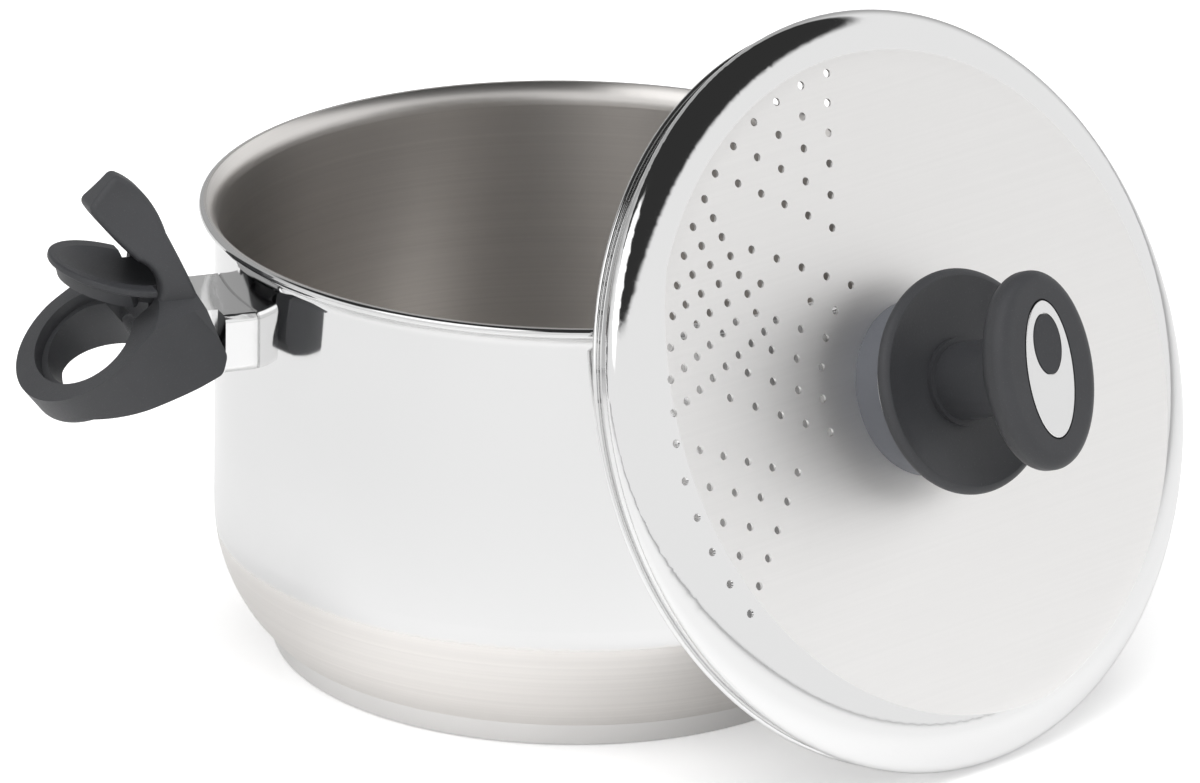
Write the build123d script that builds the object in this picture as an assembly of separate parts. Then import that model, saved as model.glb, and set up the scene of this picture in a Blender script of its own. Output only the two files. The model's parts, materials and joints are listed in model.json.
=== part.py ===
from build123d import *
import math
import os

# Pasta pot with a strainer lid, lengths in millimetres and angles in degrees.
# +Z is up, the pot's axis is the Z axis, the base stands on z = 0 and the
# two side handles point along -X (left) and +X (right).
# The lid leans on the rim with its edge on the table, as in the photo.

# clearances
part_gap = 0.3          # between pieces that move past each other
pin_running_gap = 0.05  # radial, pin in the bracket's bore
screw_hole_gap = 0.2    # radial, screw shank in a plain hole
overcut = 3.0           # how far a cutter runs past the face it opens

# pot body
rim_height = 153.5
wall_radius = 117.5
wall_thickness = 0.8
corner_radius = 55.0
corner_height = 48.0
base_height = 8.6
lip_inner_flare = 2.8
lip_outer_flare = 5.3
lip_edge_radius = 1.6
flare_depth_outside = 8.5
flare_depth_inside = 7.3

# heat spreading base
cap_foot_inset = 20.2
cap_thickness = 0.6
cap_foot_rounding = 1.5
core_side_gap = 0.4

# lid, in its own frame: edge plane z = 0, outside towards +z
lid_sheet = 0.9
lid_edge_inset = 0.8
lid_roll_radius = 1.0
groove_depth = 1.6
skirt_height = 6.9
shoulder_overhang = 1.2
shoulder_height = 10.6
shoulder_width = 21.5
shoulder_rise = 8.5
crown_rise = 1.2
seat_radius = 31.0
lid_tilt = 21.86
lid_heading = -67.41
lid_side_shift = 27.2
contact_rounds = 12

# strainer holes in the lid, angles from the lid's right-hand side
hole_radius = 1.35
pattern_axis = 151.3
triangle_first_reach = 3.6
triangle_rows = 6
triangle_row_pitch = 8.9
triangle_spacing = 12.2
triangle_middle_angle = 41.3
chevron_counts = (7, 5, 3, 1)
chevron_reach = 2.7
chevron_half_angle = 48.5
chevron_spacing = 6.72
inner_row_counts = (3, 4, 5)
inner_start_reach = 12.0
inner_row_pitch = 9.8
inner_spacing = 10.6

# steam vents in the lid's skirt
vent_count = 8
vent_radius = 1.3
vent_height = 6.3
vent_step = 4.6

# knob, heights counted from the lid's seat
base_ring_radius = 28.6
base_ring_height = 11.8
base_ring_bevel = 0.8
trim_radius = 29.9
trim_thickness = 1.2
trim_rounding = 0.4
guard_start_radius = 29.3
guard_radius = 36.5
guard_rim_low = 18.0
guard_rim_high = 22.8
guard_dish_radius = 16.5
guard_dish_height = 18.6
guard_flare_share = 0.35
collar_radius = 14.3
collar_height = 20.6
neck_radius = 12.6
neck_top = 43.0
grip_bottom = 48.7
grip_top = 61.0
grip_half_length = 32.0
grip_half_width = 21.0
grip_turn = 8.0
grip_back_rounding = 6.0
grip_front_rounding = 4.4
neck_flare_share = 0.72
plate_half_length = 22.5
plate_half_width = 10.25
plate_depth = 1.6
plate_proud = 0.2
plate_gap = 0.5
plate_rounding = 0.35
inlay_half_length = 10.0
inlay_half_width = 6.0
inlay_depth = 0.9
inlay_proud = 0.25
inlay_shift = 8.0
inlay_gap = 0.35

# knob fastening
knob_screw_radius = 2.5
knob_screw_head_radius = 5.5
knob_screw_head_height = 3.0
knob_screw_end = 36.0
drive_radius = 2.0
drive_depth = 1.8
drive_sides = 6
lid_washer_radius = 11.0
lid_washer_thickness = 1.2
insert_radius = 4.6
insert_start = 22.0
insert_end = 38.0
core_bore_radius = 8.0

# handle hinge
pivot_reach = 24.0
pivot_drop = 28.5
pin_radius = 2.5
pin_half_length = 22.4
pin_end_rounding = 0.4

# bracket on the wall, measured from the hinge axis
bracket_half_width = 21.0
bracket_neck_half_width = 13.7
bracket_shoulder = 14.6
bracket_neck_start = 14.3
bracket_bottom = 10.5
bracket_end_radius = 9.5
bracket_edge_rounding = 2.6
bracket_wall_bevel = 0.5

# hinge washers
washer_radius = 6.0
washer_thickness = 1.2

# lift handle, side view (outward, up) from the hinge axis
horn_front_low = (-13.9, -2.5)
horn_front_high = (2.1, 36.4)
horn_front_bend = (7.5, 48.2)
horn_tip = (17.2, 55.6)
horn_heel = (26.9, 45.6)
horn_back_bend = (19.8, 36.2)
horn_back_low = (12.6, 28.8)
throat = (7.4, 17.0)
cheek_bottom_out = (29.6, -17.4)
cheek_bottom_in = (-3.2, -9.9)
cheek_corner = (-11.6, -7.6)
tip_rounding = 2.6
front_corner_rounding = 3.0
horn_rounding = 2.0
ring_bottom_rounding = 2.5

# lift handle, front view (sideways, up) from the hinge axis
tip_half = (4.2, 56.4)
blade_half = (6.6, 45.0)
shoulder_half = (12.4, 35.0)
waist_half = (19.2, 16.5)
foot_half = (37.0, 8.5)
foot_low = -45.0
cheek_thickness = 4.6

# hollow in the lift handle for bracket and thumb rest
hollow_half_width = 15.2
hollow_front_low = (-1.9, 16.8)
hollow_front_high = (6.6, 36.5)
hollow_reach = 27.0
hollow_bottom_reach = 14.0

# lift ring
ring_droop = 38.5
ring_centre = 27.0
ring_half_depth = 26.0
ring_half_width = 34.5
ring_thickness = 12.0
ring_inner_band = 2.5
side_bend = (-17.0, 30.9)
side_end = (-32.0, 24.2)
side_run = 75.0
recess_half_depth = 18.4
recess_half_width = 27.0
recess_depth = 4.0
eye_half_depth = 16.0
eye_half_width = 24.6

# fixed thumb rest
rest_tilt = 13.0
rest_centre_out = 16.5
rest_centre_up = 23.4
rest_half_depth = 21.5
rest_half_width = 25.0
rest_foot_half_depth = 17.0
rest_foot_half_width = 21.0
rest_thickness = 7.0
rest_rim_thickness = 2.4
rest_rim_rounding = 0.8
rest_rim_step = 1.4
rest_dish_half_width = 19.0
rest_dish_depth = 3.6
rest_back_low = 15.0
rest_back_high = 27.0
rest_back_thickness = 2.4
rest_throat_half_width = 13.9
rest_pass_centre = 25.7
rest_pass_half_depth = 15.4
rest_pass_half_width = 26.0
rest_inner = -0.4
rest_cheek_line = 9.4
stem_half_width = 12.0
stem_inner = -3.2
stem_outer = 8.8

# thumb rest screw
rest_screw_radius = 2.0
rest_screw_position = 5.6
rest_screw_head_radius = 3.4
rest_screw_head_height = 2.4
rest_screw_seat = -5.4
rest_screw_end = 15.0

# sizes that follow from the ones above
right_angle = 90
half_turn = 180
lip_inner_radius = wall_radius + lip_inner_flare
lip_outer_radius = wall_radius + lip_outer_flare
flare_start_outside = rim_height - flare_depth_outside
flare_start_inside = rim_height - flare_depth_inside
cap_foot_radius = wall_radius - cap_foot_inset
lid_edge_radius = lip_outer_radius - lid_edge_inset
skirt_radius = lid_edge_radius - groove_depth
shoulder_radius = lip_outer_radius + shoulder_overhang
crown_edge_radius = shoulder_radius - shoulder_width
crown_edge_height = shoulder_height + shoulder_rise
seat_height = crown_edge_height + crown_rise
triangle_first_radius = crown_edge_radius + triangle_first_reach
chevron_outer_radius = crown_edge_radius + chevron_reach
inner_start_radius = seat_radius + inner_start_reach
pivot_distance = wall_radius + pivot_reach
pivot_height = rim_height - pivot_drop


def cosine(angle):
    return math.cos(math.radians(angle))


def sine(angle):
    return math.sin(math.radians(angle))


def turned(edges):
    """Solid of revolution about Z from edges drawn as (radius, height)."""
    return revolve(Plane.XZ * make_face(edges), Axis.Z)


def tube(outer, inner, low, high):
    """Plain ring between two radii and two heights."""
    ring = turned([
        Line((inner, low), (outer, low)),
        Line((outer, low), (outer, high)),
        Line((outer, high), (inner, high)),
        Line((inner, high), (inner, low)),
    ])
    return ring


def disc(radius, low, high):
    """Plain round bar between two heights."""
    return Pos(0, 0, low) * extrude(Circle(radius), amount=high - low)


# pot body

def corner_reach(radius, level):
    """Radius and drop angle where the corner arc meets a level."""
    drop = math.asin((corner_height - level) / radius)
    reach = wall_radius - corner_radius + radius * math.cos(drop)
    return reach, math.degrees(drop)


def make_pot_shell():
    inner_wall = wall_radius - wall_thickness
    inner_corner = corner_radius - wall_thickness
    inner_floor = base_height + wall_thickness
    corner_centre = (wall_radius - corner_radius, corner_height)
    floor_edge, outer_drop = corner_reach(corner_radius, base_height)
    inner_edge, inner_drop = corner_reach(inner_corner, inner_floor)
    roll_centre = lip_outer_radius - lip_edge_radius
    roll_height = rim_height - lip_edge_radius
    roll_bottom = (roll_centre, roll_height - lip_edge_radius)
    edges = [
        Line((0, base_height), (floor_edge, base_height)),
        CenterArc(corner_centre, corner_radius, -outer_drop, outer_drop),
        Line((wall_radius, corner_height), (wall_radius, flare_start_outside)),
        TangentArc((wall_radius, flare_start_outside), roll_bottom, tangent=(0, 1)),
        CenterArc((roll_centre, roll_height), lip_edge_radius, -right_angle, half_turn),
        Line((roll_centre, rim_height), (lip_inner_radius, rim_height)),
        TangentArc((inner_wall, flare_start_inside), (lip_inner_radius, rim_height), tangent=(0, 1)),
        Line((inner_wall, flare_start_inside), (inner_wall, corner_height)),
        CenterArc(corner_centre, inner_corner, -inner_drop, inner_drop),
        Line((inner_edge, inner_floor), (0, inner_floor)),
        Line((0, inner_floor), (0, base_height)),
    ]
    return turned(edges)


def cap_side_radius(level):
    """Outer radius of the base cap's cone at a level."""
    top_radius, _ = corner_reach(corner_radius, base_height)
    return cap_foot_radius + (top_radius - cap_foot_radius) * level / base_height


def make_base_cap():
    top_radius, _ = corner_reach(corner_radius, base_height)
    outer = Solid.make_cone(cap_foot_radius, top_radius, base_height)
    outer = fillet(outer.edges().sort_by(Axis.Z)[0], cap_foot_rounding)
    floor_radius = cap_side_radius(cap_thickness) - cap_thickness
    hollow = Solid.make_cone(floor_radius, top_radius - cap_thickness, base_height - cap_thickness)
    return outer - Pos(0, 0, cap_thickness) * hollow


def make_base_core():
    low_radius = cap_side_radius(cap_thickness) - cap_thickness - core_side_gap
    high_radius = cap_side_radius(base_height) - cap_thickness - core_side_gap
    core = Solid.make_cone(low_radius, high_radius, base_height - cap_thickness)
    return Pos(0, 0, cap_thickness) * core


# lid

def quarter_shoulder(thickness):
    """Elliptical quarter from the shoulder up to the crown's edge."""
    half_width = shoulder_radius - crown_edge_radius - thickness
    half_height = crown_edge_height - shoulder_height - thickness
    centre = (crown_edge_radius, shoulder_height)
    return EllipticalCenterArc(centre, half_width, half_height, start_angle=0, arc_size=right_angle)


def make_lid_sheet():
    inner_skirt = skirt_radius - lid_sheet
    inner_seat = seat_height - lid_sheet
    inner_crown = crown_edge_height - lid_sheet
    inner_shoulder = shoulder_radius - lid_sheet
    roll_top = lid_roll_radius + lid_roll_radius
    edges = [
        Line((skirt_radius, lid_roll_radius), (skirt_radius, skirt_height)),
        TangentArc((shoulder_radius, shoulder_height), (skirt_radius, skirt_height), tangent=(0, -1)),
        quarter_shoulder(0),
        TangentArc((seat_radius, seat_height), (crown_edge_radius, crown_edge_height), tangent=(1, 0)),
        Line((seat_radius, seat_height), (0, seat_height)),
        Line((0, seat_height), (0, inner_seat)),
        Line((0, inner_seat), (seat_radius, inner_seat)),
        TangentArc((seat_radius, inner_seat), (crown_edge_radius, inner_crown), tangent=(1, 0)),
        quarter_shoulder(lid_sheet),
        TangentArc((inner_shoulder, shoulder_height), (inner_skirt, skirt_height), tangent=(0, -1)),
        Line((inner_skirt, skirt_height), (inner_skirt, lid_roll_radius)),
        Line((inner_skirt, lid_roll_radius), (skirt_radius, lid_roll_radius)),
    ]
    sheet = turned(edges)
    roll_centre = lid_edge_radius - lid_roll_radius
    roll = Pos(0, 0, lid_roll_radius) * Torus(roll_centre, lid_roll_radius)
    return sheet + roll


def triangle_holes(side):
    """Six rows shortening towards the lid's middle, on one side of the axis."""
    spots = []
    for row in range(triangle_rows):
        count = triangle_rows - row
        radius = triangle_first_radius - row * triangle_row_pitch
        for place in range(count):
            step = (place - (count - 1) / 2) * triangle_spacing / radius
            angle = side * (triangle_middle_angle + math.degrees(step))
            spots.append((radius * cosine(angle), radius * sine(angle)))
    return spots


def chevron_holes():
    """Nested arrows pointing outwards on the axis."""
    spots = []
    for count in chevron_counts:
        arm = count * chevron_spacing
        sideways = arm * sine(chevron_half_angle)
        inwards = arm * cosine(chevron_half_angle)
        apex = math.sqrt(chevron_outer_radius ** 2 - sideways ** 2) - inwards
        spots.append((apex, 0))
        for place in range(1, count + 1):
            reach = place * chevron_spacing
            along = apex + reach * cosine(chevron_half_angle)
            across = reach * sine(chevron_half_angle)
            spots.append((along, across))
            spots.append((along, -across))
    return spots


def inner_holes():
    """Short rows beside the axis near the knob."""
    spots = []
    for row, count in enumerate(inner_row_counts):
        across = (row + 1 / 2) * inner_row_pitch
        start = math.sqrt(inner_start_radius ** 2 - across ** 2)
        for place in range(count):
            along = start + place * inner_spacing
            spots.append((along, across))
            spots.append((along, -across))
    return spots


def make_lid_shell():
    spots = triangle_holes(1) + triangle_holes(-1) + chevron_holes() + inner_holes()
    drills = Sketch() + [Pos(x, y) * Circle(hole_radius) for x, y in spots]
    reach = seat_height - shoulder_height + overcut
    tools = [Rot(0, 0, pattern_axis) * Pos(0, 0, shoulder_height) * extrude(drills, amount=reach)]
    for place in range(vent_count):
        angle = pattern_axis + (place - (vent_count - 1) / 2) * vent_step
        start = Plane(origin=(0, 0, vent_height), x_dir=(0, 0, 1), z_dir=(cosine(angle), sine(angle), 0))
        drill = extrude(Circle(vent_radius), amount=shoulder_radius)
        tools.append(start * drill)
    tools.append(disc(knob_screw_radius + screw_hole_gap, 0, seat_height + overcut))
    return make_lid_sheet() - tools


def crown_inside(radius):
    """Height of the crown's inner face, a flat arc from seat to crown edge."""
    fall = seat_height - crown_edge_height
    run = crown_edge_radius - seat_radius
    bend = (run ** 2 + fall ** 2) / (fall + fall)
    away = max(radius - seat_radius, 0)
    return seat_height - lid_sheet - bend + math.sqrt(bend ** 2 - away ** 2)


def lid_place():
    """Plane that leans the lid: rolled edge on the table, crown on the pot's lip."""
    roll_centre = lid_edge_radius - lid_roll_radius
    centre_height = roll_centre * cosine(lid_tilt) + lid_roll_radius * (1 - sine(lid_tilt))
    lip_radius = lip_outer_radius - lip_edge_radius
    above = rim_height - lip_edge_radius - centre_height
    away = lip_radius
    for _ in range(contact_rounds):
        along = (away - lip_radius) * sine(lid_tilt) + above * cosine(lid_tilt)
        contact = math.hypot(along, lid_side_shift)
        depth = crown_inside(contact) - part_gap - lip_edge_radius
        away = lip_radius - (depth - above * sine(lid_tilt)) / cosine(lid_tilt)
    out = Vector(cosine(lid_heading), sine(lid_heading), 0)
    right = Vector(-sine(lid_heading), cosine(lid_heading), 0)
    normal = out * cosine(lid_tilt) + Vector(0, 0, sine(lid_tilt))
    centre = out * away + right * lid_side_shift + Vector(0, 0, centre_height)
    return Plane(origin=centre, x_dir=right, z_dir=normal)


# knob, built on the lid's seat with its own +z away from the lid

def make_knob_base_ring():
    ring = tube(base_ring_radius, core_bore_radius, 0, base_ring_height)
    return chamfer(ring.edges().group_by(Axis.Z)[-1].sort_by(SortBy.LENGTH)[-1], base_ring_bevel)


def make_knob_trim_ring():
    high = base_ring_height + trim_thickness
    ring = tube(trim_radius, core_bore_radius, base_ring_height, high)
    return fillet(ring.edges().sort_by(SortBy.LENGTH)[-3:].filter_by(GeomType.CIRCLE), trim_rounding)


def make_knob_guard():
    low = base_ring_height + trim_thickness
    rim_middle = (guard_rim_low + guard_rim_high) / 2
    half_rim = guard_rim_high - rim_middle
    rim_centre = (guard_radius - half_rim, rim_middle)
    low_rim = (guard_radius - half_rim, guard_rim_low)
    high_rim = (guard_radius - half_rim, guard_rim_high)
    bore = core_bore_radius
    edges = [
        Line((bore, low), (guard_start_radius, low)),
        TangentArc((guard_start_radius, low), low_rim, tangent=(guard_flare_share, 1)),
        CenterArc(rim_centre, half_rim, -right_angle, half_turn),
        TangentArc((guard_dish_radius, guard_dish_height), high_rim, tangent=(1, 0)),
        Line((guard_dish_radius, guard_dish_height), (collar_radius, guard_dish_height)),
        Line((collar_radius, guard_dish_height), (collar_radius, collar_height)),
        Line((collar_radius, collar_height), (bore, collar_height)),
        Line((bore, collar_height), (bore, low)),
    ]
    return turned(edges)


def make_knob_body():
    neck = disc(neck_radius, collar_height, neck_top)
    back = Ellipse(grip_half_length * neck_flare_share, grip_half_width * neck_flare_share)
    flare = loft([Pos(0, 0, neck_top) * Circle(neck_radius), Pos(0, 0, grip_bottom) * back])
    grip = extrude(Ellipse(grip_half_length, grip_half_width), amount=grip_top - grip_bottom)
    grip = Pos(0, 0, grip_bottom) * grip
    grip = fillet(grip.edges().group_by(Axis.Z)[0], grip_back_rounding)
    grip = fillet(grip.edges().group_by(Axis.Z)[-1], grip_front_rounding)
    pocket = extrude(Ellipse(plate_half_length, plate_half_width), amount=overcut)
    pocket = Pos(0, 0, grip_top - plate_depth) * pocket
    bore = disc(insert_radius, 0, insert_end)
    body = neck + flare + grip - pocket - bore
    return Rot(0, 0, right_angle - grip_turn) * body


def make_knob_plate():
    thickness = plate_depth + plate_proud
    plate = extrude(Ellipse(plate_half_length - plate_gap, plate_half_width - plate_gap), amount=thickness)
    plate = fillet(plate.edges().group_by(Axis.Z)[-1], plate_rounding)
    pocket = Pos(inlay_shift, 0, thickness - inlay_depth)
    plate = plate - pocket * extrude(Ellipse(inlay_half_length, inlay_half_width), amount=overcut)
    return Rot(0, 0, right_angle - grip_turn) * Pos(0, 0, grip_top - plate_depth) * plate


def make_knob_inlay():
    outline = Ellipse(inlay_half_length - inlay_gap, inlay_half_width - inlay_gap)
    inlay = extrude(outline, amount=inlay_depth + inlay_proud)
    inlay = fillet(inlay.edges().group_by(Axis.Z)[-1], inlay_proud)
    place = Pos(inlay_shift, 0, grip_top + plate_proud - inlay_depth)
    return Rot(0, 0, right_angle - grip_turn) * place * inlay


def make_knob_insert():
    return tube(insert_radius, knob_screw_radius, insert_start, insert_end)


def make_lid_washer():
    high = -lid_sheet
    return tube(lid_washer_radius, knob_screw_radius + screw_hole_gap, high - lid_washer_thickness, high)


def make_knob_screw():
    head_top = -lid_sheet - lid_washer_thickness
    head = disc(knob_screw_head_radius, head_top - knob_screw_head_height, head_top)
    head = fillet(head.edges().sort_by(Axis.Z)[0], base_ring_bevel)
    shank = disc(knob_screw_radius, head_top, knob_screw_end)
    drive = extrude(RegularPolygon(drive_radius, drive_sides), amount=drive_depth)
    return head + shank - Pos(0, 0, head_top - knob_screw_head_height) * drive


# side handle parts, built for the +X side

def side_point(pair):
    """Side view point (outward, up) from the hinge axis, as drawn on Plane.XZ."""
    return (pivot_distance + pair[0], pivot_height + pair[1])


def side_solid(edges, half_width):
    """Side view outline made thick to both sides of the handle's middle plane."""
    return extrude(Plane.XZ * make_face(edges), amount=half_width, both=True)


def cross_bar(outward, up, radius, half_length):
    """Round bar along Y through a side view point."""
    spot = side_point((outward, up))
    return extrude(Plane.XZ * Pos(*spot) * Circle(radius), amount=half_length, both=True)


def upright_bar(outward, radius, low, high):
    """Round bar along Z, heights from the hinge axis."""
    return Pos(pivot_distance + outward, 0, pivot_height) * disc(radius, low, high)


def closed_line(points):
    """Straight edges through the points and back to the first."""
    return [Line(a, b) for a, b in zip(points, points[1:] + points[:1])]


def bracket_arm(growth, half_width):
    """Arm of the bracket in side view with its round end, grown by a clearance."""
    inner = -pivot_distance / 2
    end = bracket_end_radius + growth
    low = -bracket_bottom - growth
    edges = [
        Line(side_point((inner, low)), side_point((-bracket_end_radius, low))),
        TangentArc(side_point((0, -end)), side_point((-bracket_end_radius, low)), tangent=(-1, 0)),
        CenterArc(side_point((0, 0)), end, -right_angle, half_turn),
        Line(side_point((0, end)), side_point((inner, end))),
        Line(side_point((inner, end)), side_point((inner, low))),
    ]
    return side_solid(edges, half_width)


def lies_on_wall(edge):
    """Whether an edge's ends and middle are on the pot's outside."""
    spots = [edge @ 0, edge @ (1 / 2), edge @ 1]
    return all(abs(math.hypot(spot.X, spot.Y) - wall_radius) < pin_running_gap for spot in spots)


def make_bracket():
    inner = pivot_distance / 2
    reach = pivot_distance + bracket_end_radius + overcut
    plan = [
        (inner, -bracket_half_width),
        (pivot_distance - bracket_shoulder, -bracket_half_width),
        (pivot_distance - bracket_neck_start, -bracket_neck_half_width),
        (reach, -bracket_neck_half_width),
        (reach, bracket_neck_half_width),
        (pivot_distance - bracket_neck_start, bracket_neck_half_width),
        (pivot_distance - bracket_shoulder, bracket_half_width),
        (inner, bracket_half_width),
    ]
    block = Pos(0, 0, pivot_height / 2) * extrude(make_face(closed_line(plan)), amount=pivot_height)
    body = block & bracket_arm(0, bracket_half_width)
    side = bracket_half_width - part_gap
    long_edges = [e for e in body.edges().filter_by(Axis.X) if abs(e.center().Y) > side]
    body = fillet(long_edges, bracket_edge_rounding)
    body = body - Solid.make_cylinder(wall_radius, rim_height)
    body = chamfer([e for e in body.edges() if lies_on_wall(e)], bracket_wall_bevel)
    body = body - cross_bar(0, 0, pin_radius + pin_running_gap, bracket_half_width)
    shank_bore = rest_screw_radius + screw_hole_gap
    body = body - upright_bar(rest_screw_position, shank_bore, rest_screw_seat, bracket_bottom)
    head_bore = rest_screw_head_radius + screw_hole_gap
    body = body - upright_bar(rest_screw_position, head_bore, -bracket_bottom - overcut, rest_screw_seat)
    return body


def make_hinge_pin():
    pin = cross_bar(0, 0, pin_radius, pin_half_length)
    return fillet(pin.edges().group_by(Axis.Y)[0] + pin.edges().group_by(Axis.Y)[-1], pin_end_rounding)


def make_hinge_washers():
    washers = []
    outer = hollow_half_width
    for side in (1, -1):
        disk = cross_bar(0, 0, washer_radius, washer_thickness / 2)
        hole = cross_bar(0, 0, pin_radius + pin_running_gap, washer_thickness)
        washers.append(Pos(0, side * (outer - washer_thickness / 2), 0) * (disk - hole))
    return Compound(children=washers)


def front_view(inset):
    """Half-width outline of horn and cheeks, mirrored to both sides."""
    marks = [tip_half, blade_half, shoulder_half, waist_half, foot_half, (foot_half[0], foot_low)]
    marks = [(x - inset, pivot_height + y) for x, y in marks]
    other = [(-x, y) for x, y in marks]
    edges = [
        Spline(marks[:4]),
        Line(marks[3], marks[4]),
        Line(marks[4], marks[5]),
        Line(marks[5], other[5]),
        Line(other[5], other[4]),
        Line(other[4], other[3]),
        Spline(other[3::-1]),
        Line(other[0], marks[0]),
    ]
    start = Plane(origin=(wall_radius, 0, 0), x_dir=(0, 1, 0), z_dir=(1, 0, 0))
    return extrude(start * make_face(edges), amount=pivot_distance)


def ring_plane():
    """Plane of the lift ring's top face."""
    x, z = side_point((ring_centre, 0))
    x_dir = (cosine(ring_droop), 0, -sine(ring_droop))
    return Plane(origin=(x, 0, z), x_dir=x_dir, z_dir=(sine(ring_droop), 0, cosine(ring_droop)))


def ring_spot(reach, depth):
    """Side view point at a reach along the ring's top face and a depth below it."""
    outward = ring_centre + reach * cosine(ring_droop) - depth * sine(ring_droop)
    up = -reach * sine(ring_droop) - depth * cosine(ring_droop)
    return side_point((outward, up))


def ring_outline():
    """Teardrop seen square to the ring's top face, open towards the pot."""
    bend, end = side_bend, side_end
    far = (end[0] - side_run, end[1])
    half = EllipticalCenterArc(
        (0, 0), ring_half_depth, ring_half_width, start_angle=-right_angle, arc_size=half_turn
    )
    edges = [
        half,
        ThreePointArc((0, ring_half_width), bend, end),
        Line(end, far),
        Line(far, (far[0], -far[1])),
        Line((far[0], -far[1]), (end[0], -end[1])),
        ThreePointArc((end[0], -end[1]), (bend[0], -bend[1]), (0, -ring_half_width)),
    ]
    return extrude(make_face(edges), amount=side_run, both=True)


def rounded(outline, spots, radius):
    """Side view outline with its corners at the spots rounded."""
    corners = [outline.vertices().sort_by_distance(side_point(spot))[0] for spot in spots]
    return fillet(corners, radius)


def lies_on_plane(edge, spot, normal):
    """Whether a curved edge's ends and middle are on a plane."""
    places = [edge @ 0, edge @ (1 / 2), edge @ 1]
    flat = all(abs((place - spot).dot(normal)) < pin_running_gap for place in places)
    return flat and edge.geom_type != GeomType.LINE


def make_lift_body():
    """Horn, cheeks and ring in one, before hollow and eye are cut."""
    ring_end = ring_half_depth + overcut
    inner_band = -recess_half_depth - ring_inner_band
    throat_low = ring_spot(inner_band, 0)
    outline = make_face([
        Line(side_point(horn_front_low), side_point(horn_front_high)),
        ThreePointArc(side_point(horn_front_high), side_point(horn_front_bend), side_point(horn_tip)),
        Line(side_point(horn_tip), side_point(horn_heel)),
        ThreePointArc(side_point(horn_heel), side_point(horn_back_bend), side_point(horn_back_low)),
        ThreePointArc(side_point(horn_back_low), side_point(throat), throat_low),
        Line(throat_low, ring_spot(ring_end, 0)),
        Line(ring_spot(ring_end, 0), ring_spot(ring_end, ring_thickness)),
        Line(ring_spot(ring_end, ring_thickness), side_point(cheek_bottom_out)),
        Line(side_point(cheek_bottom_out), side_point(cheek_bottom_in)),
        Line(side_point(cheek_bottom_in), side_point(cheek_corner)),
        Line(side_point(cheek_corner), side_point(horn_front_low)),
    ])
    outline = rounded(outline, (horn_tip, horn_heel), tip_rounding)
    outline = rounded(outline, (horn_front_low, cheek_corner), front_corner_rounding)
    body = extrude(Plane.XZ * outline, amount=ring_half_width, both=True)
    body = body & ring_plane() * ring_outline() & front_view(0)
    horn_low = pivot_height + hollow_front_low[1]
    horn_edges = [e for e in body.edges() if e.center().Z > horn_low and abs(e.center().Y) > part_gap]
    body = fillet(horn_edges, horn_rounding)
    bottom = ring_plane() * Pos(0, 0, -ring_thickness)
    low_edges = [e for e in body.edges() if lies_on_plane(e, bottom.position, ring_plane().z_dir)]
    return fillet(low_edges, ring_bottom_rounding)


def make_hollow():
    """Space between the cheeks, open to the pot below and outwards."""
    far = (hollow_reach, hollow_front_high[1])
    points = [
        (-pivot_distance / 4, -pivot_height / 4),
        (-pivot_distance / 4, hollow_front_low[1]),
        hollow_front_low,
        hollow_front_high,
        far,
        (hollow_reach, 0),
        (hollow_bottom_reach, -pivot_height / 4),
    ]
    outline = closed_line([side_point(p) for p in points])
    return side_solid(outline, hollow_half_width) & front_view(cheek_thickness)


def make_handle():
    body = make_lift_body()
    eye = extrude(Ellipse(eye_half_depth, eye_half_width), amount=ring_half_depth, both=True)
    recess = extrude(Ellipse(recess_half_depth, recess_half_width), amount=ring_half_depth)
    recess = Pos(0, 0, -recess_depth) * recess
    body = body - ring_plane() * eye - ring_plane() * recess - make_hollow()
    half_bore = pin_half_length + pin_end_rounding
    return body - cross_bar(0, 0, pin_radius, half_bore)


def rest_plane():
    """Plane of the thumb rest's rim."""
    x, z = side_point((rest_centre_out, rest_centre_up))
    x_dir = (cosine(rest_tilt), 0, sine(rest_tilt))
    return Plane(origin=(x, 0, z), x_dir=x_dir, z_dir=(-sine(rest_tilt), 0, cosine(rest_tilt)))


def make_rest_passage():
    """Plan outline that stays clear of the ring's recess and the cheeks while the ring is lifted."""
    reach = ring_centre + ring_half_depth - rest_inner
    recess = Pos(rest_pass_centre, 0) * Ellipse(rest_pass_half_depth, rest_pass_half_width)
    throat_way = Pos(rest_inner + reach / 2, 0) * Rectangle(reach, rest_throat_half_width * 2)
    return Pos(pivot_distance, 0, 0) * extrude(recess + throat_way, amount=rim_height + rim_height)


def make_rim_passage():
    """Plan outline that keeps the rest's rim off the cheeks."""
    reach = ring_centre + ring_half_depth
    middle = Pos(rest_inner + reach / 2, 0) * Rectangle(reach, rest_throat_half_width * 2)
    wide = Pos(rest_cheek_line + reach / 2, 0) * Rectangle(reach, ring_half_width * 2)
    return Pos(pivot_distance, 0, 0) * extrude(middle + wide, amount=rim_height + rim_height)


def make_rest_back():
    """Wall at the rest's inner end, along the inside of the horn's front; the horn's stop."""
    rise = hollow_front_high[1] - hollow_front_low[1]
    slope = (hollow_front_high[0] - hollow_front_low[0]) / rise
    step = part_gap * math.hypot(1, slope)

    def inner(height):
        return hollow_front_low[0] + (height - hollow_front_low[1]) * slope + step

    points = [
        (inner(rest_back_low), rest_back_low),
        (inner(rest_back_high), rest_back_high),
        (inner(rest_back_high) + rest_back_thickness / 2, rest_back_high),
        (inner(rest_back_low) + rest_back_thickness * 2, rest_back_low),
    ]
    wall = side_solid(closed_line([side_point(p) for p in points]), rest_throat_half_width)
    return wall & front_view(cheek_thickness + part_gap * 2)


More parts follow.
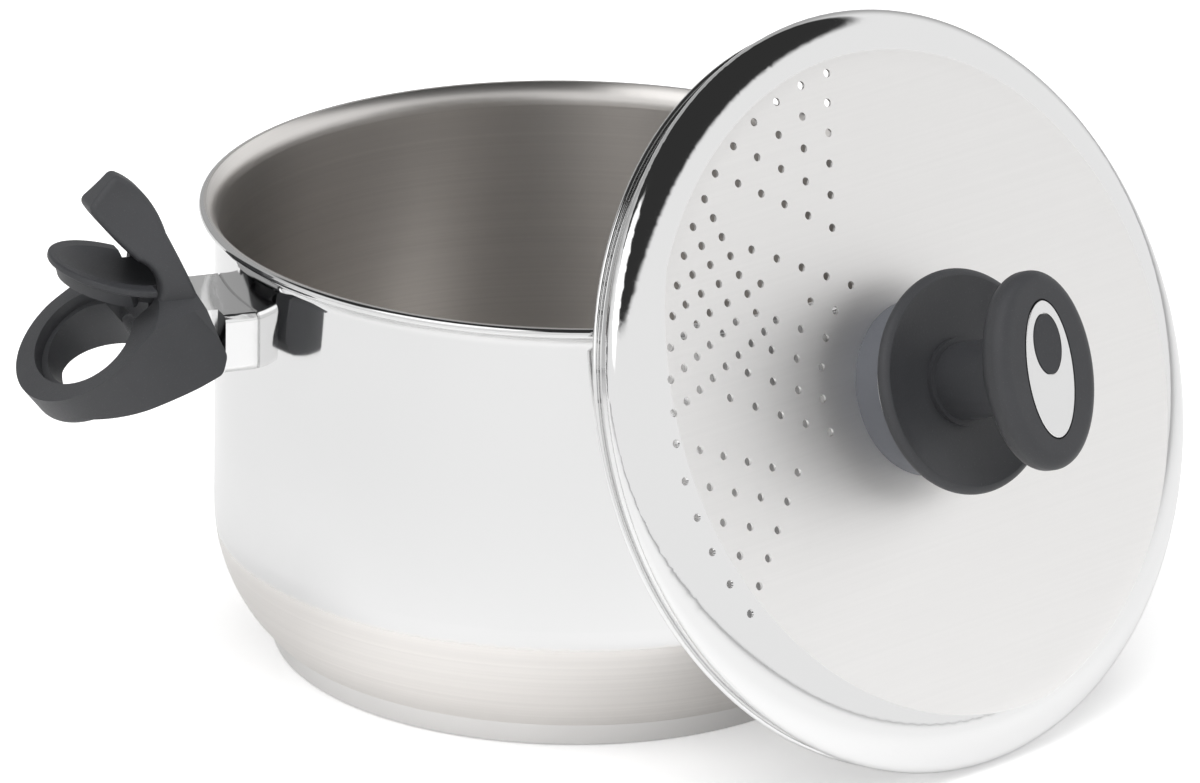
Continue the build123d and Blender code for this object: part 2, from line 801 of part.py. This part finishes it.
def make_thumb_rest():
    rim = extrude(Ellipse(rest_half_depth, rest_half_width), amount=-rest_rim_thickness)
    rim = fillet(rim.edges(), rest_rim_rounding)
    under_rim = Ellipse(rest_half_depth - rest_rim_step, rest_half_width - rest_rim_step)
    skirt = loft([
        Pos(0, 0, -rest_thickness) * Ellipse(rest_foot_half_depth, rest_foot_half_width),
        Pos(0, 0, -rest_rim_rounding) * under_rim,
    ])
    dish_radius = (rest_dish_half_width ** 2 + rest_dish_depth ** 2) / (rest_dish_depth * 2)
    dish = Pos(0, 0, dish_radius - rest_dish_depth) * Sphere(dish_radius)
    rim = rest_plane() * (rim - dish) & make_rim_passage()
    skirt = rest_plane() * (skirt - dish) & make_rest_passage()
    stem_length = stem_outer - stem_inner
    stem_top = rest_centre_up - rest_thickness
    stem = Box(stem_length, stem_half_width * 2, stem_top)
    stem_middle = (stem_outer + stem_inner) / 2
    stem = Pos(pivot_distance + stem_middle, 0, pivot_height + stem_top / 2) * stem
    body = rim + skirt + stem + make_rest_back()
    body = body - bracket_arm(0, ring_half_width)
    body = body - upright_bar(rest_screw_position, rest_screw_radius, 0, rest_screw_end)
    return body


def make_rest_screw():
    head_low = rest_screw_seat - rest_screw_head_height
    head = upright_bar(rest_screw_position, rest_screw_head_radius, head_low, rest_screw_seat)
    return head + upright_bar(rest_screw_position, rest_screw_radius, rest_screw_seat, rest_screw_end)


def save(name, shape):
    shape.label = name
    export_step(shape, os.path.join("parts", name + ".step"))


def save_side(side, turn):
    makers = {
        "bracket": make_bracket,
        "hinge_pin": make_hinge_pin,
        "hinge_washers": make_hinge_washers,
        "handle": make_handle,
        "thumb_rest": make_thumb_rest,
        "rest_screw": make_rest_screw,
    }
    for name, maker in makers.items():
        save(side + "_" + name, Rot(0, 0, turn) * maker())


def save_lid():
    place = lid_place()
    save("lid_shell", place * make_lid_shell())
    makers = {
        "knob_base_ring": make_knob_base_ring,
        "knob_trim_ring": make_knob_trim_ring,
        "knob_guard": make_knob_guard,
        "knob_body": make_knob_body,
        "knob_plate": make_knob_plate,
        "knob_inlay": make_knob_inlay,
        "knob_insert": make_knob_insert,
        "knob_screw": make_knob_screw,
        "lid_washer": make_lid_washer,
    }
    for name, maker in makers.items():
        save(name, place * Pos(0, 0, seat_height) * maker())


os.makedirs("parts", exist_ok=True)
save("pot_shell", make_pot_shell())
save("base_cap", make_base_cap())
save("base_core", make_base_core())
save_side("right", 0)
save_side("left", half_turn)
save_lid()
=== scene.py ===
import bpy
import json
import math
from mathutils import Matrix, Vector

# Looks of the pasta pot with its strainer lid: finishes, floor, light, studio and camera.
# Lengths are in metres, in the same frame as the solids.

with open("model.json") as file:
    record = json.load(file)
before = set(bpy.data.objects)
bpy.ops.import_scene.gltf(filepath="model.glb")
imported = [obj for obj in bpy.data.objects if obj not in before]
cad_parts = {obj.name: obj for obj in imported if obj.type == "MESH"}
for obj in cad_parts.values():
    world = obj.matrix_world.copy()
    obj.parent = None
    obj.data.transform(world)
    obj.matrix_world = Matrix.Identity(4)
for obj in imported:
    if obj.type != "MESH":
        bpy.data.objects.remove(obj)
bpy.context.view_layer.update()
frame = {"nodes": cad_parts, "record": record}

WHITE = (1.0, 1.0, 1.0, 1.0)
MIDDLE = Vector((0.0, 0.0, 0.1))

# the brushed inside of the pot lies within this radius, which widens with the lip
INSIDE_RADIUS = 0.1171
LIP_START = 0.1462
LIP_SLOPE = 0.55
INSIDE_EDGE = 0.0001

# the lid's own frame, the same values as in the solids
LID_TILT = math.radians(21.86)
LID_HEADING = math.radians(-67.41)
LID_CENTRE = Vector((0.0711, -0.09997, 0.11293))
LID_NORMAL = Vector((
    math.cos(LID_TILT) * math.cos(LID_HEADING),
    math.cos(LID_TILT) * math.sin(LID_HEADING),
    math.sin(LID_TILT),
))
LID_RIGHT = Vector((-math.sin(LID_HEADING), math.cos(LID_HEADING), 0))
LID_UP = LID_NORMAL.cross(LID_RIGHT)

# the lid's satin crown, and the circle off its middle that the polish leaves free
CROWN_RADIUS = 0.1107
CROWN_EDGE = 0.0005
SATIN_RADIUS = 0.1188
SATIN_EDGE = 0.0002
SATIN_RIGHT = 0.0152
SATIN_UP = 0.0101

# how finely the brushing changes across its lines, and along them on the pot and the lid
BRUSHING_ACROSS = 900.0
POT_BRUSHING_ALONG = 3.0
LID_BRUSHING_ALONG = 6.0

# the floor lies just under the base, and is lifted to white for the camera; glosses see a weaker painted
# glow on it, in front of the pot and near it
FLOOR_SIZE = 30.0
FLOOR_DROP = 0.0002
CAMERA_LIFT = 0.36
# painted glow on the floor that only reflections see, faded out behind the pot and away from it
GLOSS_LIFT = 0.12
FRONT = (-0.358, -0.934, 0.0)
FRONT_FADE = (-0.26, 0.14)
POT_FADE = (0.15, 0.38)

# the light over the object
LIGHT_SIZE = 2.4
LIGHT_POWER = 46.0
LIGHT_PLACE = Vector((-0.1, -0.35, 2.1))

# the studio: pale walls up to a height, darker behind, a dark ceiling and a bright panel
CEILING = 0.035
WALLS = 0.93
WALL_TOP = (0.63, 0.69)
BEHIND_HEADING = 95.0
BEHIND_FADE = (0.3, 0.8)
BEHIND_SHADE = 0.55
PANEL = 1.5
PANEL_HEADING = -157.0
PANEL_HEIGHT = 47.0
PANEL_INNER = math.radians(18.0)
PANEL_OUTER = math.radians(25.0)

# the camera, solved from the photo
CAMERA_AZIMUTH = math.radians(-21.0)
CAMERA_ELEVATION = math.radians(20.903)
CAMERA_ROLL = math.radians(1.084)
CAMERA_DISTANCE = 3.001
CAMERA_TARGET = Vector((0.00973, -0.00373, 0.08629))
LENS = 271.28
SENSOR_WIDTH = 36.0
NEAREST = 0.1
FURTHEST = 60.0


class Value:
    """A number socket of a node tree that can be used in sums."""

    def __init__(self, net, socket):
        self.net = net
        self.socket = socket

    def _math(self, operation, *others):
        inputs = dict(enumerate((self,) + others))
        made = self.net.node("Math", inputs, operation=operation)
        return Value(self.net, made.outputs[0])

    def __add__(self, other):
        return self._math("ADD", other)

    def __radd__(self, other):
        return self._math("ADD", other)

    def __sub__(self, other):
        return self._math("SUBTRACT", other)

    def __rsub__(self, other):
        return self.net.value(other)._math("SUBTRACT", self)

    def __mul__(self, other):
        return self._math("MULTIPLY", other)

    def __rmul__(self, other):
        return self._math("MULTIPLY", other)

    def root(self):
        return self._math("SQRT")

    def high(self, other):
        return self._math("MAXIMUM", other)

    def step(self, start, end):
        """Smooth 0 to 1 between two values."""
        inputs = {"Value": self, "From Min": start, "From Max": end}
        made = self.net.node("MapRange", inputs, interpolation_type="SMOOTHSTEP")
        return Value(self.net, made.outputs[0])


class Net:
    """The node tree of a material, with a Principled shader, or of the world."""

    def __init__(self, owner, **settings):
        self.owner = owner
        owner.use_nodes = True
        self.tree = owner.node_tree
        self.shader = self.tree.nodes.get("Principled BSDF")
        self.set(**settings)

    def feed(self, socket, term):
        if isinstance(term, Value):
            self.tree.links.new(term.socket, socket)
        elif isinstance(term, bpy.types.NodeSocket):
            self.tree.links.new(term, socket)
        else:
            socket.default_value = term

    def node(self, kind, inputs=None, **settings):
        """A new node: its settings, then its inputs by name or number."""
        made = self.tree.nodes.new("ShaderNode" + kind)
        for key, setting in settings.items():
            setattr(made, key, setting)
        for key, term in (inputs or {}).items():
            self.feed(made.inputs[key], term)
        return made

    def value(self, number):
        made = self.node("Value")
        made.outputs[0].default_value = number
        return Value(self, made.outputs[0])

    def place(self):
        return self.node("TexCoord").outputs["Object"]

    def minus(self, vector, start):
        return self.node("VectorMath", {0: vector, 1: tuple(start)}, operation="SUBTRACT").outputs[0]

    def along(self, vector, direction):
        """How far a vector reaches along a direction."""
        made = self.node("VectorMath", {0: vector, 1: tuple(direction)}, operation="DOT_PRODUCT")
        return Value(self, made.outputs["Value"])

    def length(self, vector):
        made = self.node("VectorMath", {0: vector}, operation="LENGTH")
        return Value(self, made.outputs["Value"])

    def axes(self, vector):
        return [Value(self, out) for out in self.node("SeparateXYZ", {0: vector}).outputs]

    def joined(self, x, y, z):
        return self.node("CombineXYZ", {0: x, 1: y, 2: z}).outputs[0]

    def noise(self, vector, scale=1.0, detail=2.0, roughness=0.5):
        inputs = {"Vector": vector, "Scale": scale, "Detail": detail, "Roughness": roughness}
        return Value(self, self.node("TexNoise", inputs).outputs[0])

    def brushing(self, x, y, z):
        """Fine streaks, drawn out along the axes that change slowly."""
        return self.noise(self.joined(x, y, z), detail=3.0, roughness=0.6)

    def mix(self, share, a, b):
        """Colour between a and b."""
        return self.node("Mix", {0: share, 6: a, 7: b}, data_type="RGBA").outputs[2]

    def bump(self, height, strength, distance):
        inputs = {"Height": height, "Strength": strength, "Distance": distance}
        self.set(Normal=self.node("Bump", inputs).outputs[0])

    def set(self, **terms):
        for key, term in terms.items():
            self.feed(self.shader.inputs[key.replace("_", " ")], term)


def new_net(name, **settings):
    return Net(bpy.data.materials.new(name), **settings)


def grey(level, warm=0.0):
    return (level * (1 + warm), level, level * (1 - warm), 1.0)


def pot_steel():
    """Polished outside, brushed round the wall inside."""
    polished, brushed = 0.05, 0.30
    rings_rough, scuff_rough = 0.03, 0.04
    rings_outside = 0.02
    scuff_round, scuff_up = 60.0, 25.0
    scuff_start, scuff_end = 0.66, 0.72
    net = new_net("pot steel", Metallic=1.0, Anisotropic=0.7, Anisotropic_Rotation=0.25)
    here = net.place()
    x, y, z = net.axes(here)
    radius = (x * x + y * y).root()
    limit = INSIDE_RADIUS + (z - LIP_START).high(0.0) * LIP_SLOPE
    inside = 1.0 - radius.step(limit - INSIDE_EDGE, limit + INSIDE_EDGE)
    rings = net.brushing(x * POT_BRUSHING_ALONG, y * POT_BRUSHING_ALONG, z * BRUSHING_ACROSS)
    cloud = net.noise(here, scale=9.0)
    scuff_place = net.joined(x * scuff_round, y * scuff_round, z * scuff_up)
    scuff = net.noise(scuff_place, detail=4.0, roughness=0.7).step(scuff_start, scuff_end)
    outside_colour = net.mix(cloud, grey(0.71), grey(0.76))
    inside_colour = net.mix(rings, grey(0.70, 0.03), grey(0.82, 0.03))
    roughness = polished + inside * (brushed - polished) + rings * rings_rough + scuff * scuff_rough
    net.set(Base_Color=net.mix(inside, outside_colour, inside_colour), Roughness=roughness)
    height = rings * (rings_outside + inside * (1.0 - rings_outside))
    net.bump(height, strength=0.12, distance=0.0002)
    return net.owner


def lid_steel():
    """Satin crown with straight brushing, polished shoulder and rim."""
    satin, polished = 0.45, 0.04
    lines_rough = 0.05
    lines_polished = 0.03
    cloud_share = 0.3
    net = new_net("lid steel", Metallic=1.0)
    here = net.place()
    from_centre = net.minus(here, LID_CENTRE)
    right = net.along(from_centre, LID_RIGHT)
    up = net.along(from_centre, LID_UP)
    radius = (right * right + up * up).root()
    shoulder = radius.step(CROWN_RADIUS - CROWN_EDGE, CROWN_RADIUS + CROWN_EDGE)
    satin_right, satin_up = right - SATIN_RIGHT, up - SATIN_UP
    satin_reach = (satin_right * satin_right + satin_up * satin_up).root()
    polish = shoulder.high(satin_reach.step(SATIN_RADIUS - SATIN_EDGE, SATIN_RADIUS + SATIN_EDGE))
    lines = net.brushing(right * LID_BRUSHING_ALONG, up * BRUSHING_ACROSS, 0.0)
    cloud = net.noise(here, scale=7.0)
    crown_colour = net.mix(lines, grey(0.84, 0.01), grey(0.90, 0.01))
    crown_colour = net.mix(cloud * cloud_share, crown_colour, grey(0.93, 0.01))
    roughness = satin - polish * (satin - polished) + lines * lines_rough
    net.set(Base_Color=net.mix(polish, crown_colour, grey(0.80)), Roughness=roughness)
    net.bump(lines * (1.0 - polish * (1.0 - lines_polished)), strength=0.10, distance=0.0002)
    return net.owner


def metal(name, level, rough, warm=0.0, grain=400.0):
    """Plain metal with a fine grain and slow clouds in its finish."""
    dull_share = 0.94
    grain_rough, cloud_rough = 0.06, 0.03
    net = new_net(name, Metallic=1.0)
    here = net.place()
    grains = net.noise(here, scale=grain)
    cloud = net.noise(here, scale=18.0)
    colour = net.mix(cloud, grey(level * dull_share, warm), grey(level, warm))
    net.set(Base_Color=colour, Roughness=rough + grains * grain_rough + cloud * cloud_rough)
    net.bump(grains, strength=0.05, distance=0.0001)
    return net.owner


def plastic(name, dark, light, rough, grain=1500.0, strength=0.35):
    """Matte plastic with a fine grain and pale specks."""
    speck_share, speck_start, speck_end = 0.30, 0.72, 0.80
    grain_rough, cloud_rough = 0.15, 0.05
    net = new_net(name, IOR=1.48, Specular_IOR_Level=0.45)
    here = net.place()
    grains = net.noise(here, scale=grain, detail=1.0)
    cloud = net.noise(here, scale=60.0, detail=3.0)
    speck = net.noise(here, scale=2600.0, detail=0.0).step(speck_start, speck_end)
    colour = net.mix(speck * speck_share, net.mix(cloud, dark, light), grey(0.10))
    net.set(Base_Color=colour, Roughness=rough + grains * grain_rough - cloud * cloud_rough)
    net.bump(grains, strength=strength, distance=0.0001)
    return net.owner


def colour(red, green, blue):
    return (red, green, blue, 1.0)


def finishes():
    """The material of each slot in the record."""
    handle_dark, handle_light = colour(0.040, 0.041, 0.044), colour(0.052, 0.053, 0.057)
    rest_dark, rest_light = colour(0.030, 0.031, 0.034), colour(0.040, 0.041, 0.045)
    knob_dark, knob_light = colour(0.034, 0.035, 0.038), colour(0.044, 0.045, 0.049)
    slate_dark, slate_light = colour(0.112, 0.117, 0.132), colour(0.132, 0.138, 0.154)
    inlay_dark, inlay_light = colour(0.028, 0.029, 0.032), colour(0.034, 0.035, 0.039)
    nylon_dark, nylon_light = grey(0.62, 0.02), grey(0.68, 0.02)
    return {
        "pot_steel": pot_steel(),
        "lid_steel": lid_steel(),
        "base_steel": metal("base steel", level=0.82, rough=0.26, warm=0.01),
        "core_aluminium": metal("core aluminium", level=0.78, rough=0.35),
        "bracket_chrome": metal("bracket chrome", level=0.86, rough=0.07),
        "pin_steel": metal("pin steel", level=0.62, rough=0.25),
        "washer_nylon": plastic("washer nylon", nylon_dark, nylon_light, rough=0.5),
        "handle_black": plastic("handle black", handle_dark, handle_light, rough=0.46),
        "rest_black": plastic("rest black", rest_dark, rest_light, rough=0.44),
        "screw_steel": metal("screw steel", level=0.60, rough=0.22),
        "knob_grey": plastic("knob grey", slate_dark, slate_light, rough=0.42, grain=900.0, strength=0.15),
        "trim_chrome": metal("trim chrome", level=0.86, rough=0.08),
        "knob_black": plastic("knob black", knob_dark, knob_light, rough=0.46),
        "plate_chrome": metal("plate chrome", level=0.80, rough=0.20, grain=900.0),
        "inlay_black": plastic("inlay black", inlay_dark, inlay_light, rough=0.42),
        "insert_brass": metal("insert brass", level=0.70, rough=0.25, warm=0.25),
        "washer_steel": metal("washer steel", level=0.66, rough=0.22),
    }


def dress_pieces():
    looks = finishes()
    slots = {row["node"]: row["material_slot"] for row in frame["record"]["subparts"]}
    for node, piece in frame["nodes"].items():
        piece.data.materials.clear()
        piece.data.materials.append(looks[slots[node]])


def floor_paint():
    """Pale paint, lifted to white where the camera sees it, with a painted glow that glosses see in front
    of the pot and near it.
    """
    net = new_net("floor paint", Roughness=0.9, Specular_IOR_Level=0.1, Emission_Strength=1.0)
    here = net.place()
    cloud = net.noise(here, scale=3.0)
    rays = net.node("LightPath").outputs
    by_camera = Value(net, rays["Is Camera Ray"])
    by_gloss = Value(net, rays["Is Glossy Ray"]).high(Value(net, rays["Is Transmission Ray"]))
    in_front = net.along(here, FRONT).step(*FRONT_FADE)
    near_pot = 1.0 - net.length(here).step(*POT_FADE)
    # the gloss part of the lift is painted light: a glow seen only in reflections, strongest in front of
    # the pot and near it
    lift = by_camera * CAMERA_LIFT + by_gloss * GLOSS_LIFT * in_front * near_pot
    net.set(Base_Color=net.mix(cloud, grey(0.90), grey(0.92)), Emission_Color=net.joined(lift, lift, lift))
    return net.owner


def lay_floor():
    bpy.ops.mesh.primitive_plane_add(size=FLOOR_SIZE, location=(0, 0, -FLOOR_DROP))
    floor = bpy.context.object
    floor.name = "floor"
    floor.data.materials.append(floor_paint())


def hang_light():
    bpy.ops.object.light_add(type="AREA", location=LIGHT_PLACE)
    light = bpy.context.object
    light.name = "overhead light"
    light.data.shape = "SQUARE"
    light.data.size = LIGHT_SIZE
    light.data.energy = LIGHT_POWER
    light.rotation_euler = (LIGHT_PLACE - MIDDLE).to_track_quat("Z", "Y").to_euler()
    light.visible_glossy = False


def heading(degrees, height):
    """Direction towards a compass heading, counted from +X, and a height angle."""
    turn, rise = math.radians(degrees), math.radians(height)
    return (math.cos(turn) * math.cos(rise), math.sin(turn) * math.cos(rise), math.sin(rise))


def build_studio():
    """The world: white for the camera, walls, ceiling and panel for all other rays."""
    world = bpy.data.worlds.new("studio")
    bpy.context.scene.world = world
    studio = Net(world)
    way = studio.node("TexCoord").outputs["Generated"]
    height = studio.axes(way)[2]
    behind = studio.along(way, heading(BEHIND_HEADING, 0.0)).step(*BEHIND_FADE)
    walls = (1.0 - height.step(*WALL_TOP)) * (1.0 - behind * BEHIND_SHADE)
    towards_panel = studio.along(way, heading(PANEL_HEADING, PANEL_HEIGHT))
    panel = towards_panel.step(math.cos(PANEL_OUTER), math.cos(PANEL_INNER))
    sky = CEILING + (walls * WALLS).high(panel * PANEL)
    lit = studio.tree.nodes["Background"]
    studio.feed(lit.inputs["Color"], studio.joined(sky, sky, sky))
    seen = studio.node("Background", {"Color": WHITE})
    by_camera = studio.node("LightPath").outputs["Is Camera Ray"]
    choice = studio.node("MixShader", {0: by_camera, 1: lit.outputs[0], 2: seen.outputs[0]})
    studio.feed(studio.tree.nodes["World Output"].inputs[0], choice.outputs[0])


def place_camera():
    backward = Vector((
        math.sin(CAMERA_AZIMUTH) * math.cos(CAMERA_ELEVATION),
        -math.cos(CAMERA_AZIMUTH) * math.cos(CAMERA_ELEVATION),
        math.sin(CAMERA_ELEVATION),
    ))
    level_right = Vector((math.cos(CAMERA_AZIMUTH), math.sin(CAMERA_AZIMUTH), 0))
    level_up = backward.cross(level_right)
    right = level_right * math.cos(CAMERA_ROLL) + level_up * math.sin(CAMERA_ROLL)
    up = level_up * math.cos(CAMERA_ROLL) - level_right * math.sin(CAMERA_ROLL)
    bpy.ops.object.camera_add(location=(0, 0, 0))
    camera = bpy.context.object
    camera.name = "photo camera"
    turn = Matrix((right, up, backward)).transposed()
    camera.matrix_world = Matrix.Translation(CAMERA_TARGET + backward * CAMERA_DISTANCE) @ turn.to_4x4()
    camera.data.lens = LENS
    camera.data.sensor_width = SENSOR_WIDTH
    camera.data.clip_start = NEAREST
    camera.data.clip_end = FURTHEST
    bpy.context.scene.camera = camera
    bpy.context.scene.view_settings.view_transform = "Standard"


dress_pieces()
lay_floor()
hang_light()
build_studio()
place_camera()
